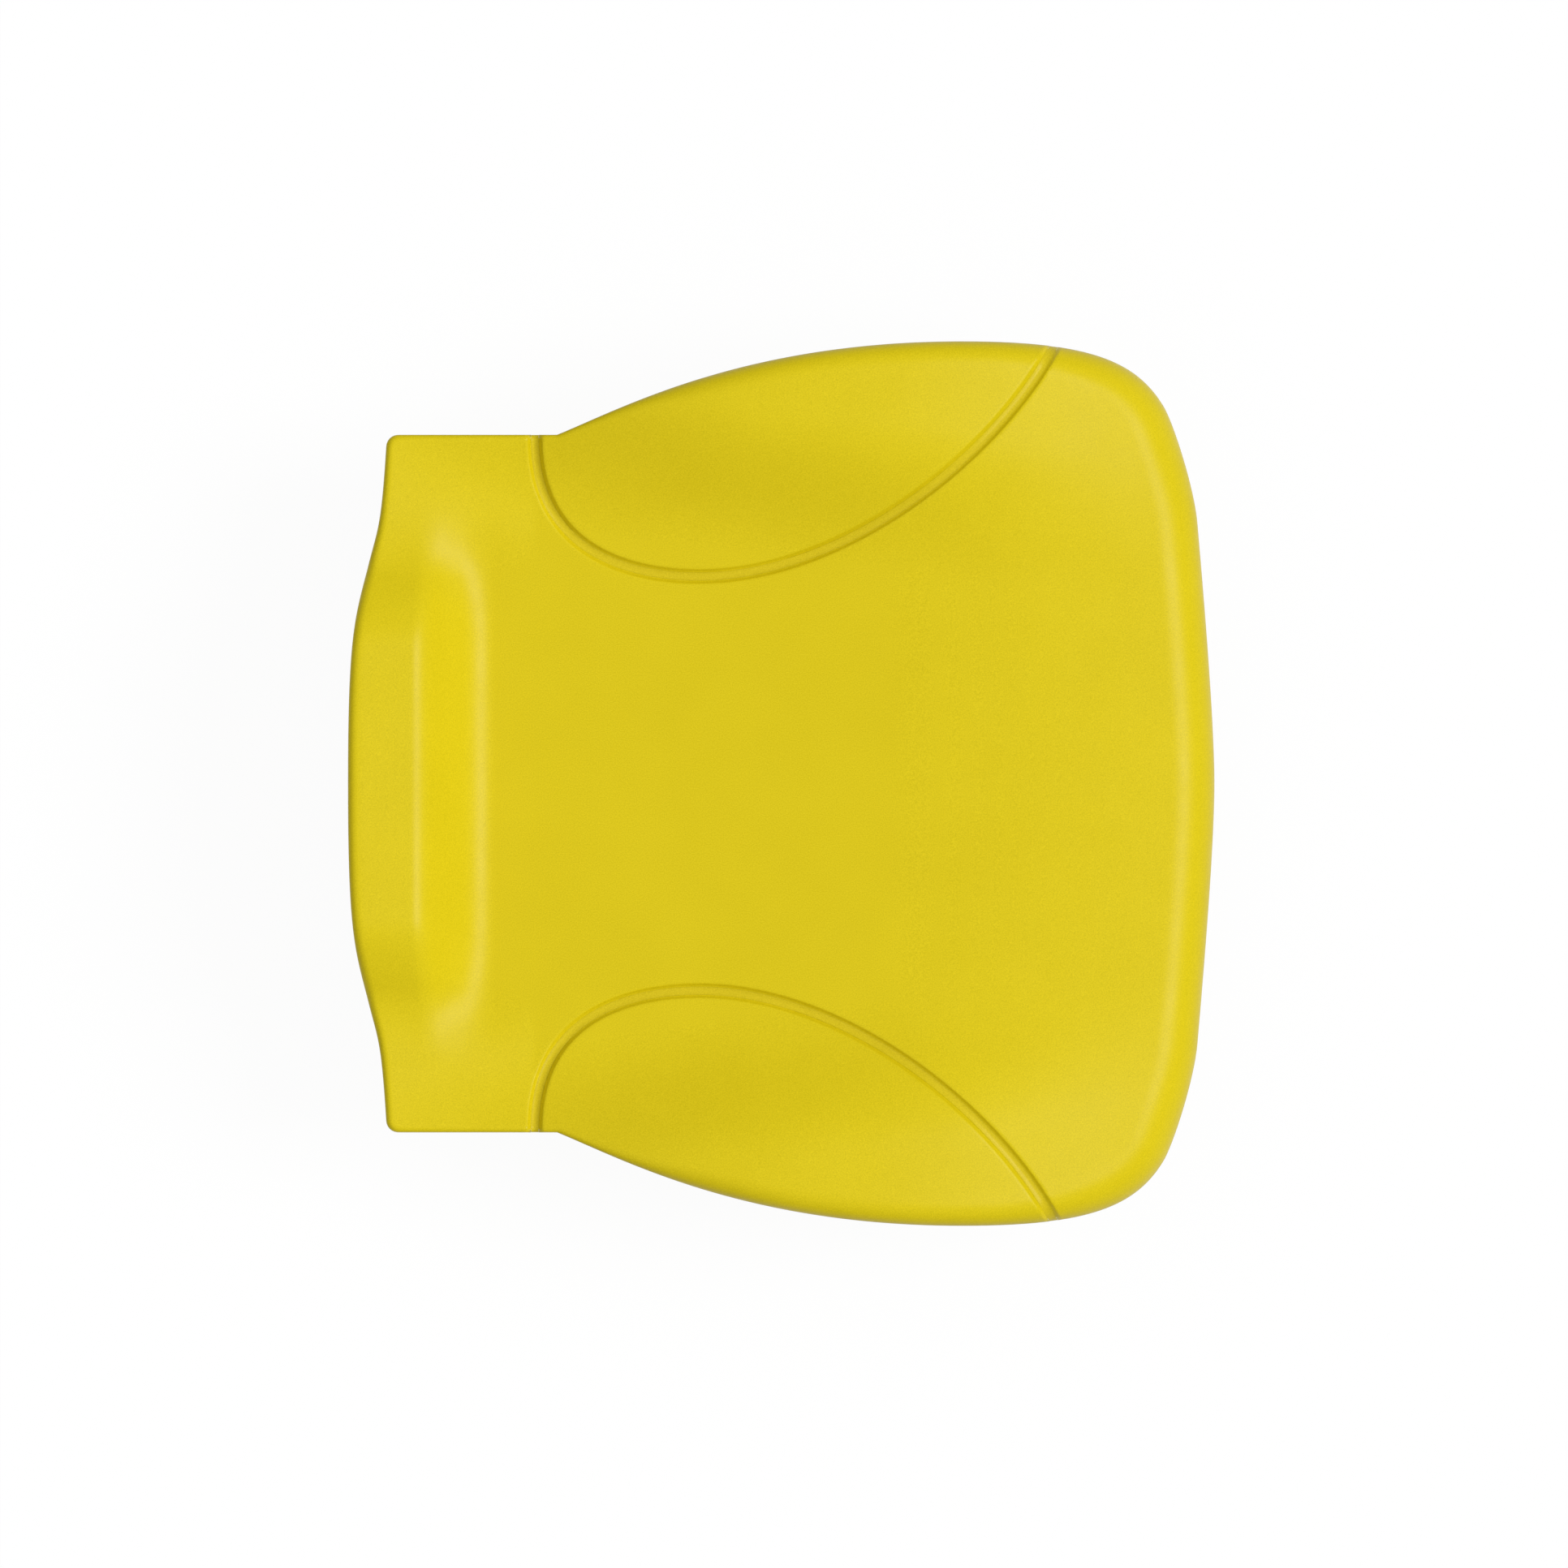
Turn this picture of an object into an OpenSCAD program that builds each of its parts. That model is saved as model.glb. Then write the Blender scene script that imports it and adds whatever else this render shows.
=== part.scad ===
// Kayak seat on hull rails. Three foam pads lie on a moulded pan. The pan stands
// on a sliding frame that two swinging levers clamp to a pair of channel rails.
// X points to the bow, Y to port and Z up, in millimetres. The origin is on the
// hull floor, under the middle of the seat's plan.

/* [Seat plan] */
// Length of the seat, rear lip to front edge
seat_len = 431; // [415:1:460]
// Greatest width of the seat, across the wings
seat_w = 440; // [425:1:470]
// Where the seat is widest, forward of the middle
widest_x = 90; // [70:1:100]
// Width of the narrow rear part
neck_w = 347; // [330:1:360]
// Length of the straight sides of the rear part
neck_len = 104; // [96:1:112]
// How far the lip stands out behind the rear corners
lip_bow = 19; // [8:1:26]
// Width of the centre pad at its waist
waist_w = 206; // [190:1:216]

/* [Seat heights] */
// Height of the sitting surface above the hull floor
seat_h = 95; // [92:1:125]
// Rise of the rear lip above the sitting surface, at its back
lip_rise = 34; // [26:1:60]
// Rise of the wings above the sitting surface
wing_rise = 24; // [12:1:36]
// Rise of the rear corners above the sitting surface
corner_rise = 15; // [4:1:20]
// Drop of the sitting surface towards the front edge
front_fall = 14; // [4:1:15]

/* [Pads and pan] */
// Thickness of the foam pads
pad_t = 22; // [20:0.5:24]
// Wall of the pan
pan_wall = 4; // [3:0.5:5]
// Depth of the pan, sitting surface to lower edge
pan_depth = 44; // [42:1:48]
// Gap between two pads, with the pan's rib in it
seam_w = 4; // [3:0.25:5]
// Depth of the rib below the pads' surface
seam_depth = 2.25; // [1.5:0.25:6]

/* [Rails] */
// Distance between the two rails' centre lines
rail_gap = 190; // [170:1:196]
// Width of a rail
rail_w = 34; // [32:0.5:40]
// Height of a rail
rail_h = 18; // [16:0.5:22]
// Wall of a rail
rail_wall = 3; // [2.5:0.25:4]
// Width of the slot along a rail's top
slot_w = 14; // [13:0.5:16]
// How far the seat can slide, end to end
travel = 100; // [60:2:130]
// Diameter of the four mounting holes in the rails' floors
mount_d = 5.5; // [4:0.5:7]
// Distance between the two mounting holes of a rail
mount_span = 320; // [300:1:330]
// Length of a rail's end stop
stop_len = 12; // [10:0.5:16]

/* [Sliding frame] */
// Width of the beams over the rails
beam_w = 30; // [26:0.5:34]
// Thickness of the beams
beam_t = 12; // [8:0.5:14]
// Width of the cross bars
bar_w = 20; // [16:0.5:26]
// Thickness of the cross bars
bar_t = 4; // [3:0.25:5]
// Where the front feet stand, forward of the middle
front_foot_x = 88; // [76:1:94]
// Where the rear feet stand, behind the middle
rear_foot_x = 120; // [106:1:124]
// Diameter of the pan's feet
foot_d = 26; // [22:0.5:30]
// Length of a glide
glide_len = 30; // [24:1:34]

/* [Fasteners] */
// Diameter of the foot bolts
bolt_d = 6; // [5:0.5:6.5]
// Diameter of the end stops' screws
screw_d = 4; // [3:0.5:4.5]
// Diameter of the rivets that hold the cross bars
rivet_d = 4.8; // [4:0.2:5.6]

/* [Clamp levers] */
// Where the clamps stand, forward of the middle
clamp_x = 125; // [118:1:130]
// Diameter of the clamp bolts
clamp_d = 8; // [6:0.5:8.5]
// Length of a lever, bolt centre to tip
lever_len = 68; // [45:1:76]
// Diameter of a lever's hub
hub_d = 24; // [20:0.5:27]
// Height of a lever's hub
hub_h = 14; // [11:0.5:15]

/* [Hidden] */
$fn = 48;

slide_fit = 0.3;     // clearance between what slides and the rails
turn_fit = 0.05;     // clearance of a hub nut on its clamp bolt
hole_fit = 0.2;      // clearance of a bolt or rivet in its hole
bond_gap = 0.2;      // glue line round the pads
cut = 1;             // how far cutting solids run past a face
tie = 0.001;         // diagonals this close in length count as equal

pad_colour = [0.82, 0.73, 0.08];
pan_colour = [0.76, 0.66, 0.08];
metal_colour = [0.72, 0.73, 0.75];
steel_colour = [0.55, 0.56, 0.58];
brass_colour = [0.76, 0.60, 0.25];
black_colour = [0.10, 0.10, 0.11];
glide_colour = [0.88, 0.88, 0.85];

half_len = seat_len / 2;
half_w = seat_w / 2;
half_neck = neck_w / 2;
half_waist = waist_w / 2;
neck_end = -half_len + neck_len;

// ---- Rails, end stops and their screws ----

rail_y = rail_gap / 2;
channel_w = rail_w - 2 * rail_wall;
lip_z = rail_h - rail_wall;             // underside of the rail's inturned lips
nut_len = 16;                           // of a clamp's plate in the rail
stop_gap = 0.5;                         // left at either end of the travel
end_margin = 2;                         // of rail beyond an end stop
front_stop_x = clamp_x + nut_len / 2 + travel / 2 + stop_gap;
rear_stop_x = -rear_foot_x - glide_len / 2 - travel / 2 - stop_gap;
rail_front = front_stop_x + stop_len + end_margin;
rail_rear = rear_stop_x - stop_len - end_margin;
screw_head_d = screw_d + 3;
screw_head_h = 2.6;
screw_socket = 2.9;
screw_seat = rail_h - 1 - screw_head_h; // where a screw's head bears
stop_top = rail_h - 1;

module rail() {
    color(metal_colour) difference() {
        translate([rail_rear, -rail_w / 2, 0])
            cube([rail_front - rail_rear, rail_w, rail_h]);
        translate([rail_rear - cut, -channel_w / 2, rail_wall])
            cube([rail_front - rail_rear + 2 * cut, channel_w, lip_z - rail_wall]);
        translate([rail_rear - cut, -slot_w / 2, lip_z - cut])
            cube([rail_front - rail_rear + 2 * cut, slot_w, rail_wall + 2 * cut]);
        for (x = [-mount_span / 2, mount_span / 2]) translate([x, 0, -cut])
            cylinder(d = mount_d, h = rail_wall + 2 * cut);
        for (x = [front_stop_x + stop_len / 2, rear_stop_x - stop_len / 2])
            translate([x, 0, -cut]) cylinder(d = screw_d, h = rail_wall + 2 * cut);
    }
}

module left_rail() { translate([0, rail_y, 0]) rail(); }
module right_rail() { translate([0, -rail_y, 0]) rail(); }

// A T-shaped block that fills a rail's end, about its own middle
module stop() {
    color(black_colour) difference() {
        union() {
            translate([-stop_len / 2, -channel_w / 2 + slide_fit, rail_wall])
                cube([stop_len, channel_w - 2 * slide_fit, lip_z - rail_wall - slide_fit]);
            translate([-stop_len / 2, -slot_w / 2 + slide_fit, rail_wall])
                cube([stop_len, slot_w - 2 * slide_fit, stop_top - rail_wall]);
        }
        cylinder(d = screw_d + 2 * hole_fit, h = rail_h);
        translate([0, 0, screw_seat])
            cylinder(d = screw_head_d + 2 * hole_fit, h = screw_head_h + cut);
    }
}

module front_stop(y) { translate([front_stop_x + stop_len / 2, y, 0]) stop(); }
module rear_stop(y) { translate([rear_stop_x - stop_len / 2, y, 0]) stop(); }
module front_left_stop() { front_stop(rail_y); }
module front_right_stop() { front_stop(-rail_y); }
module rear_left_stop() { rear_stop(rail_y); }
module rear_right_stop() { rear_stop(-rail_y); }

module stop_screws() {
    color(steel_colour)
    for (x = [front_stop_x + stop_len / 2, rear_stop_x - stop_len / 2])
        for (y = [-rail_y, rail_y]) translate([x, y, 0]) difference() {
            union() {
                cylinder(d = screw_d, h = screw_seat + cut);
                translate([0, 0, screw_seat]) cylinder(d = screw_head_d, h = screw_head_h);
            }
            translate([0, 0, screw_seat + 1])
                cylinder(d = screw_socket, h = screw_head_h, $fn = 6);
        }
}

// ---- Sliding frame: beams, cross bars and rivets ----

ride_gap = 4;                           // from the rails up to the beams
beam_z = rail_h + ride_gap;
deck_z = beam_z + beam_t;               // top of the beams
beam_round = 3;                         // on a beam's long edges
beam_rear = -rear_foot_x - foot_d / 2 - 10;
beam_front = clamp_x + hub_d / 2 + 6;
bar_to_foot = 8;                        // clear space beside a foot
front_bar_x = front_foot_x - foot_d / 2 - bar_to_foot - bar_w / 2;
rear_bar_x = -rear_foot_x + foot_d / 2 + bar_to_foot + bar_w / 2;
bar_half = rail_y + beam_w / 2;
rivet_pitch = beam_w - 14;

module beam() {
    inner = beam_w / 2 - beam_round;
    color(metal_colour) difference() {
        translate([beam_rear, 0, beam_z]) rotate([90, 0, 90])
            linear_extrude(height = beam_front - beam_rear)
            union() {
                translate([-inner, 0]) square([2 * inner, beam_t]);
                translate([-beam_w / 2, beam_round])
                    square([beam_w, beam_t - 2 * beam_round]);
                for (y = [-inner, inner], z = [beam_round, beam_t - beam_round])
                    translate([y, z]) circle(r = beam_round);
            }
        for (x = [-rear_foot_x, front_foot_x]) translate([x, 0, beam_z - cut])
            cylinder(d = bolt_d + 2 * hole_fit, h = beam_t + 2 * cut);
        translate([clamp_x, 0, beam_z - cut])
            cylinder(d = clamp_d + 2 * hole_fit, h = beam_t + 2 * cut);
        for (x = [rear_bar_x, front_bar_x], s = [-1, 1])
            translate([x, s * rivet_pitch / 2, beam_z - cut])
            cylinder(d = rivet_d, h = beam_t + 2 * cut);
    }
}

module left_beam() { translate([0, rail_y, 0]) beam(); }
module right_beam() { translate([0, -rail_y, 0]) beam(); }

module bar(x) {
    color(metal_colour) translate([x, 0, deck_z]) difference() {
        translate([-bar_w / 2, -bar_half, 0]) cube([bar_w, 2 * bar_half, bar_t]);
        for (y = [-rail_y, rail_y], s = [-1, 1])
            translate([0, y + s * rivet_pitch / 2, -cut])
            cylinder(d = rivet_d, h = bar_t + 2 * cut);
    }
}

module front_bar() { bar(front_bar_x); }
module rear_bar() { bar(rear_bar_x); }

// A dome of radius r and height h on the plane z = 0
module dome(r, h) {
    ball = (r * r + h * h) / (2 * h);
    rotate_extrude() intersection() {
        translate([0, h - ball]) circle(r = ball, $fn = 96);
        square([r, h]);
    }
}

module bar_rivets() {
    head_r = rivet_d * 0.95;
    tail_r = rivet_d * 0.8;
    head_h = rivet_d * 0.4;
    color(steel_colour)
    for (x = [rear_bar_x, front_bar_x], y = [-rail_y, rail_y], s = [-1, 1])
        translate([x, y + s * rivet_pitch / 2, 0]) union() {
            translate([0, 0, beam_z]) cylinder(d = rivet_d, h = beam_t + bar_t);
            translate([0, 0, deck_z + bar_t]) dome(head_r, head_h);
            translate([0, 0, beam_z]) mirror([0, 0, 1]) dome(tail_r, head_h);
        }
}

// ---- Glides, foot bolts and inserts ----

head_d = bolt_d * 1.7;
head_h = bolt_d * 0.62;
glide_low = rail_wall + slide_fit;
head_z = glide_low + 0.6;               // the bolts' heads are sunk in the glides
insert_d = bolt_d + 3.4;
insert_h = 15;
thread_reach = 12;                      // of a bolt in its insert

// T-shaped slider: a head in the rail's channel and a neck up to the beam
module glide() {
    color(glide_colour) difference() {
        union() {
            translate([-glide_len / 2, -channel_w / 2 + slide_fit, glide_low])
                cube([glide_len, channel_w - 2 * slide_fit, lip_z - slide_fit - glide_low]);
            translate([-glide_len / 2, -slot_w / 2 + slide_fit, glide_low])
                cube([glide_len, slot_w - 2 * slide_fit, beam_z - glide_low]);
        }
        translate([0, 0, glide_low - cut])
            cylinder(d = head_d + 2 * hole_fit, h = head_z + head_h - glide_low + cut);
        cylinder(d = bolt_d + 2 * hole_fit, h = beam_z + cut);
    }
}

module front_left_glide() { translate([front_foot_x, rail_y, 0]) glide(); }
module front_right_glide() { translate([front_foot_x, -rail_y, 0]) glide(); }
module rear_left_glide() { translate([-rear_foot_x, rail_y, 0]) glide(); }
module rear_right_glide() { translate([-rear_foot_x, -rail_y, 0]) glide(); }

module at_feet() {
    for (x = [-rear_foot_x, front_foot_x], y = [-rail_y, rail_y])
        translate([x, y, 0]) children();
}

module foot_bolts() {
    color(steel_colour) at_feet() difference() {
        union() {
            translate([0, 0, head_z]) cylinder(d = head_d, h = head_h);
            translate([0, 0, head_z])
                cylinder(d = bolt_d, h = deck_z + thread_reach - head_z);
        }
        translate([0, 0, head_z - cut])
            cylinder(d = bolt_d * 0.75, h = cut + head_h * 0.6, $fn = 6);
    }
}

module foot_inserts() {
    color(brass_colour) at_feet() translate([0, 0, deck_z]) difference() {
        cylinder(d = insert_d, h = insert_h);
        translate([0, 0, -cut]) cylinder(d = bolt_d, h = insert_h + 2 * cut);
    }
}

// ---- Seat surface, shared by the pads and the pan ----

lip_half = 102;                         // half the lip's width in plan
lip_shelf = 37;                         // depth of the lip's top
lip_fall = 5;                           // of the lip's top towards the bow
lip_shoulder_x = -half_len + lip_shelf;
lip_foot_x = lip_shoulder_x + 28;       // where the slope down from the lip ends
shoulder_bend = 5.5;                    // reach of the slope's upper bend to either side
foot_bend = 8.5;                        // and of its lower bend
lip_turn = 4;                           // of the lip's edge to the bow at its ends
lip_end_in = lip_half - 35;             // where the lip starts to fall away sideways
lip_end_out = lip_half + 41;
wing_foot_y = half_waist + 9;
wing_crest_y = half_w - 33;
wing_turn = 0.12;                       // of the wings' slope towards the middle, with X
wing_full_x = -30;                      // where the wings are highest
corner_run = 38;                        // width of the slope up to the rear corners
front_fall_x = 45;                      // where the drop to the front edge begins
seam_rear = neck_end - 11;
neck_r = 3;                             // rounding of the pads' rim at the neck
lip_r = 5;                              // behind the lip
wing_r = 11;                            // along the wings
front_r = 19.5;                         // and along the front edge
corner_r = 6;                           // rear corners in plan
overhang = 1.6;                         // pads beyond the pan's rim
tuck = 14;                              // the pan's lower edge inside its rim

function ease(a, b, v) =
    let (t = max(0, min(1, (v - a) / (b - a)))) t * t * (3 - 2 * t);
function bezier(p, t) =
    pow(1 - t, 3) * p[0] + 3 * pow(1 - t, 2) * t * p[1]
    + 3 * (1 - t) * t * t * p[2] + t * t * t * p[3];

// The first n of n + 1 evenly stepped points of a Bezier curve
function curve(p, n) = [for (i = [0:n - 1]) bezier(p, i / n)];

// A bend rounded over reach to either side: 0 before it, v after it
function bent(v, reach) =
    v > reach ? v : v > -reach ? pow(v + reach, 2) / (4 * reach) : 0;

// Height of the seat without its lip, which the pan and the pads' undersides follow
function base_top(x, y) =
    let (wing = ease(wing_foot_y, wing_crest_y, abs(y) + wing_turn * x)
            * ease(-half_len, wing_full_x, x)
            * (1 - 0.95 * ease(wing_full_x, half_len, x)),
         corner = ease(lip_half, lip_half + corner_run, abs(y))
            * max(0, seam_rear - x) / (half_len + seam_rear),
         front = pow(max(0, x - front_fall_x) / (half_len - front_fall_x), 2)
            * (1 + 0.6 * pow(y / half_w, 2)))
    seat_h + wing_rise * wing + corner_rise * corner - front_fall * front;

// Height of the pads' surface, without the rounding of its rim
function seat_top(x, y) =
    let (end = ease(lip_end_in, lip_end_out, abs(y)),
         shoulder = lip_shoulder_x + lip_turn * end,
         slope = bent(x - shoulder, shoulder_bend) - bent(x - lip_foot_x, foot_bend),
         level = lip_rise - lip_fall * (x + half_len) / lip_shelf)
    base_top(x, y) + level * (1 - end) * (1 - slope / (lip_foot_x - shoulder));

// Port half of the plan, rear centre to front centre, drawn in by g
function half_outline(g) =
    let (l = half_len - g, w = half_w - g, n = half_neck - g, bow = lip_bow,
         back = bow - l, corner = [back + corner_r, n - corner_r])
    concat(
        curve([[back - bow, 0], [back - bow, lip_half - 31],
            [back - 0.85 * bow, lip_half - 21], [back - bow / 2, lip_half + 4]], 6),
        curve([[back - bow / 2, lip_half + 4], [back - 0.22 * bow, lip_half + 26],
            [back - 0.14 * bow, lip_half + 23], [back, corner.y]], 5),
        [for (a = [180, 150, 120]) corner + corner_r * [cos(a), sin(a)]],
        [for (i = [0:2]) [corner.x + (neck_end - corner.x) * i / 3, n]],
        curve([[neck_end, n], [neck_end + 32, n + 13],
            [widest_x - 109, w], [widest_x, w]], 9),
        curve([[widest_x, w], [widest_x + 64, w],
            [l - 39, w - 10], [l - 25.5, w - 32]], 5),
        curve([[l - 25.5, w - 32], [l - 20.5, w - 40], [l - 10, w - 73], [l - 8.5, w - 90]], 3),
        curve([[l - 8.5, w - 90], [l - 5, w - 130], [l, 30], [l, 0]], 5), [[l, 0]]);

function outline(g) =
    let (half = half_outline(g))
    concat(half, [for (i = [len(half) - 2:-1:1]) [half[i].x, -half[i].y]]);

// Closed solid through rings of as many points, between two end points. Each
// four-sided cell is split along its shorter diagonal, so that two surfaces
// through the same plan points stay parallel.
module ring_solid(first, rings, last) {
    n = len(rings[0]);
    points = concat([first], [for (r = rings) each r], [last]);
    end = len(points) - 1;
    faces = concat(
        [for (i = [0:n - 1]) [0, 1 + i, 1 + (i + 1) % n]],
        [for (k = [0:len(rings) - 2], i = [0:n - 1])
            let (a = 1 + k * n + i, b = 1 + k * n + (i + 1) % n, c = a + n, d = b + n)
            each norm(points[a] - points[d]) < norm(points[b] - points[c]) - tie
                ? [[a, c, d], [a, d, b]] : [[a, c, b], [b, c, d]]],
        [for (i = [0:n - 1]) [end, end - n + (i + 1) % n, end - n + i]]);
    polyhedron(points = points, faces = faces);
}

function rim_r(p) = lip_r + (neck_r - lip_r) * ease(-half_len + 5, -half_len + 30, p.x)
    + (wing_r - neck_r) * ease(neck_end, neck_end + 90, p.x)
    + (front_r - wing_r) * ease(widest_x + 10, half_len - 15, p.x);
function inward(p, d) = p * (1 - d / norm(p));
function below_top(p, depth) = [p.x, p.y, seat_top(p.x, p.y) - depth];
function below_base(p, depth) = [p.x, p.y, base_top(p.x, p.y) - depth];

// Where the surface's rings lie, as parts of the way from the middle to the
// rim: wide apart on the seat, close together over the bends of the lip
bend_places = [for (x = concat([for (s = [1, 0, -1]) lip_foot_x + s * foot_bend],
    [for (s = [1, 0, -1]) lip_shoulder_x + s * shoulder_bend])) x / (lip_r - half_len)];
ring_places = concat([0.2, 0.38, 0.52, 0.63], bend_places, [0.93]);

// Plans of the surface's rings, from the middle out
surface_plans = [for (f = ring_places) [for (p = outline(0)) inward(p, rim_r(p)) * f]];
function base_rings(depth) =
    [for (ring = surface_plans) [for (p = ring) below_base(p, depth)]];
function reversed(list) = [for (i = [len(list) - 1:-1:0]) list[i]];

// ---- Pads ----

module pad_blank() {
    plan = outline(0);
    ring_solid(below_top([0, 0], 0), concat(
        [for (ring = surface_plans) [for (p = ring) below_top(p, 0)]],
        [for (a = [90, 66, 44, 22, 0]) [for (p = plan)
            let (r = rim_r(p)) below_top(inward(p, r * (1 - cos(a))), r * (1 - sin(a)))]],
        [for (g = [0, overhang]) [for (p = outline(g)) below_base(p, pad_t)]],
        reversed(base_rings(pad_t))), below_base([0, 0], pad_t));
}

// Centre line of the port seam, from beyond the neck to beyond the wing's front
seam_waist = neck_end + 70.5;
seam_front = [widest_x + 45, half_w - 3.5];
seam_line = concat(
    [[seam_rear, half_neck + 12]],
    [for (i = [0:9]) bezier([[seam_rear, half_neck - 1.5],
        [seam_rear, half_waist + 13], [seam_waist - 36, half_waist],
        [seam_waist, half_waist]], i / 9)],
    [for (i = [1:12]) bezier([[seam_waist, half_waist], [seam_waist + 71, half_waist],
        seam_front - [31, 56], seam_front], i / 12)],
    [seam_front + [9, 16.5]]);

// A line moved to its left by d
function beside(line, d) = [for (i = [0:len(line) - 1])
    let (a = line[max(0, i - 1)], b = line[min(len(line) - 1, i + 1)],
         u = (b - a) / norm(b - a)) line[i] + d * [-u.y, u.x]];

// Everything outboard of the seam line moved outboard by d
module wing_prism(d) {
    far = half_w + 40;
    line = beside(seam_line, d);
    linear_extrude(height = seat_h + lip_rise + cut)
        polygon(concat(line, [[line[len(line) - 1].x, far], [line[0].x, far]]));
}

module centre_pad() {
    color(pad_colour) difference() {
        pad_blank();
        wing_prism(-seam_w / 2);
        mirror([0, 1, 0]) wing_prism(-seam_w / 2);
    }
}

module left_wing_pad() {
    color(pad_colour) intersection() {
        pad_blank();
        wing_prism(seam_w / 2);
    }
}

module right_wing_pad() { mirror([0, 1, 0]) left_wing_pad(); }

// ---- Pan with its seam ribs and feet ----

pan_top = pad_t + bond_gap;             // below the seat surface
pan_under = pan_top + pan_wall;
pan_edge_z = seat_h - pan_depth;

// Side wall ring: part t of the way from the rim to the lower edge, g inside
function side_ring(t, g, depth) =
    let (rim = outline(overhang), low = outline(overhang + tuck))
    [for (i = [0:len(rim) - 1])
        let (a = inward(rim[i], g), b = inward(low[i], g),
             z = base_top(a.x, a.y) - depth, side = a + (b - a) * t * t)
        [side.x, side.y, z + (pan_edge_z - z) * t]];

module pan_shell() {
    steps = [0.35, 0.7, 1];
    ring_solid(below_base([0, 0], pan_top), concat(
        base_rings(pan_top),
        [side_ring(0, 0, pan_top)],
        [for (t = steps) side_ring(t, 0, pan_top)],
        [for (t = reversed(steps)) side_ring(t, pan_wall, pan_under)],
        reversed(base_rings(pan_under))), below_base([0, 0], pan_under));
}

// The rib in the port seam, from inside the pan's wall up to the seat's surface
module seam_rib() {
    half = seam_w / 2 - bond_gap;
    left = beside(seam_line, half);
    right = beside(seam_line, -half);
    foot = pan_top + pan_wall / 2;
    rings = [for (i = [0:len(seam_line) - 1])
        [below_base(left[i], foot), below_base(left[i], 0),
         below_base(right[i], 0), below_base(right[i], foot)]];
    ring_solid((rings[0][0] + rings[0][2]) / 2, rings,
        (rings[len(rings) - 1][0] + rings[len(rings) - 1][2]) / 2);
}

// Both ribs end just below the pads' surface, and are rounded down at their
// ends like the pads
module seam_ribs() {
    intersection() {
        union() {
            seam_rib();
            mirror([0, 1, 0]) seam_rib();
        }
        translate([0, 0, -seam_depth]) pad_blank();
    }
}

// A foot: a round post with four webs, moulded into the pan's underside
module foot(x, y) {
    top = base_top(x, y) - pan_under + pan_wall / 2;
    web_reach = foot_d / 2 + 7;
    web_t = 3;
    web_low = deck_z + 16;
    translate([x, y, 0]) difference() {
        union() {
            translate([0, 0, deck_z]) cylinder(d = foot_d, h = top - deck_z);
            for (a = [0, 90]) rotate([0, 0, a])
                translate([-web_reach, -web_t / 2, web_low])
                cube([2 * web_reach, web_t, top - web_low]);
        }
        translate([0, 0, deck_z - cut]) cylinder(d = insert_d, h = insert_h + cut);
    }
}

module seat_pan() {
    color(pan_colour) union() {
        pan_shell();
        seam_ribs();
        for (x = [-rear_foot_x, front_foot_x], y = [-rail_y, rail_y]) foot(x, y);
    }
}

// ---- Clamps: T-bolts, washers, hub nuts and levers ----

nut_w = channel_w - 4;
nut_h = 5;
nut_top = lip_z - slide_fit;
washer_t = 1.6;
hub_z = deck_z + washer_t;
hub_nut_d = clamp_d + 6;
hub_top = hub_z + hub_h;
bolt_top = hub_top - 1;

module at_clamps() {
    for (y = [-rail_y, rail_y]) translate([clamp_x, y, 0]) children();
}

module clamp_bolts() {
    color(steel_colour) at_clamps() union() {
        translate([-nut_len / 2, -nut_w / 2, nut_top - nut_h])
            cube([nut_len, nut_w, nut_h]);
        translate([0, 0, nut_top - nut_h])
            cylinder(d = clamp_d, h = bolt_top - nut_top + nut_h);
    }
}

module clamp_washers() {
    color(steel_colour) at_clamps() translate([0, 0, deck_z]) difference() {
        cylinder(d = hub_d - 2, h = washer_t - turn_fit);
        translate([0, 0, -cut]) cylinder(d = clamp_d + 2 * hole_fit, h = washer_t + 2 * cut);
    }
}

module hub_nut(y) {
    color(brass_colour) translate([clamp_x, y, hub_z]) difference() {
        cylinder(d = hub_nut_d, h = hub_h);
        translate([0, 0, -cut]) cylinder(d = clamp_d + 2 * turn_fit, h = hub_h + 2 * cut);
    }
}

module left_hub_nut() { hub_nut(rail_y); }
module right_hub_nut() { hub_nut(-rail_y); }

// A lever about its own bolt, pointing along -Y
module lever() {
    root_d = 15;
    tip_d = 13;
    arm_h = 9;
    color(black_colour) difference() {
        union() {
            cylinder(d = hub_d, h = hub_h);
            hull() {
                translate([0, -hub_d / 3, 1]) cylinder(d = root_d, h = arm_h);
                translate([0, -lever_len + tip_d / 2, 1]) cylinder(d = tip_d, h = arm_h - 2);
            }
        }
        translate([0, 0, -cut]) cylinder(d = hub_nut_d, h = hub_h + 2 * cut);
    }
}

module left_clamp_lever() { translate([clamp_x, rail_y, hub_z]) lever(); }
module right_clamp_lever() { mirror([0, 1, 0]) left_clamp_lever(); }

left_rail();
right_rail();
front_left_stop();
front_right_stop();
rear_left_stop();
rear_right_stop();
stop_screws();
left_beam();
right_beam();
front_bar();
rear_bar();
bar_rivets();
front_left_glide();
front_right_glide();
rear_left_glide();
rear_right_glide();
foot_bolts();
foot_inserts();
seat_pan();
centre_pad();
left_wing_pad();
right_wing_pad();
clamp_bolts();
clamp_washers();
left_hub_nut();
right_hub_nut();
left_clamp_lever();
right_clamp_lever();
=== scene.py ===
import math

import bmesh
import bpy
import numpy as np
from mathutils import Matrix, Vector
from mathutils.geometry import delaunay_2d_cdt


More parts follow.
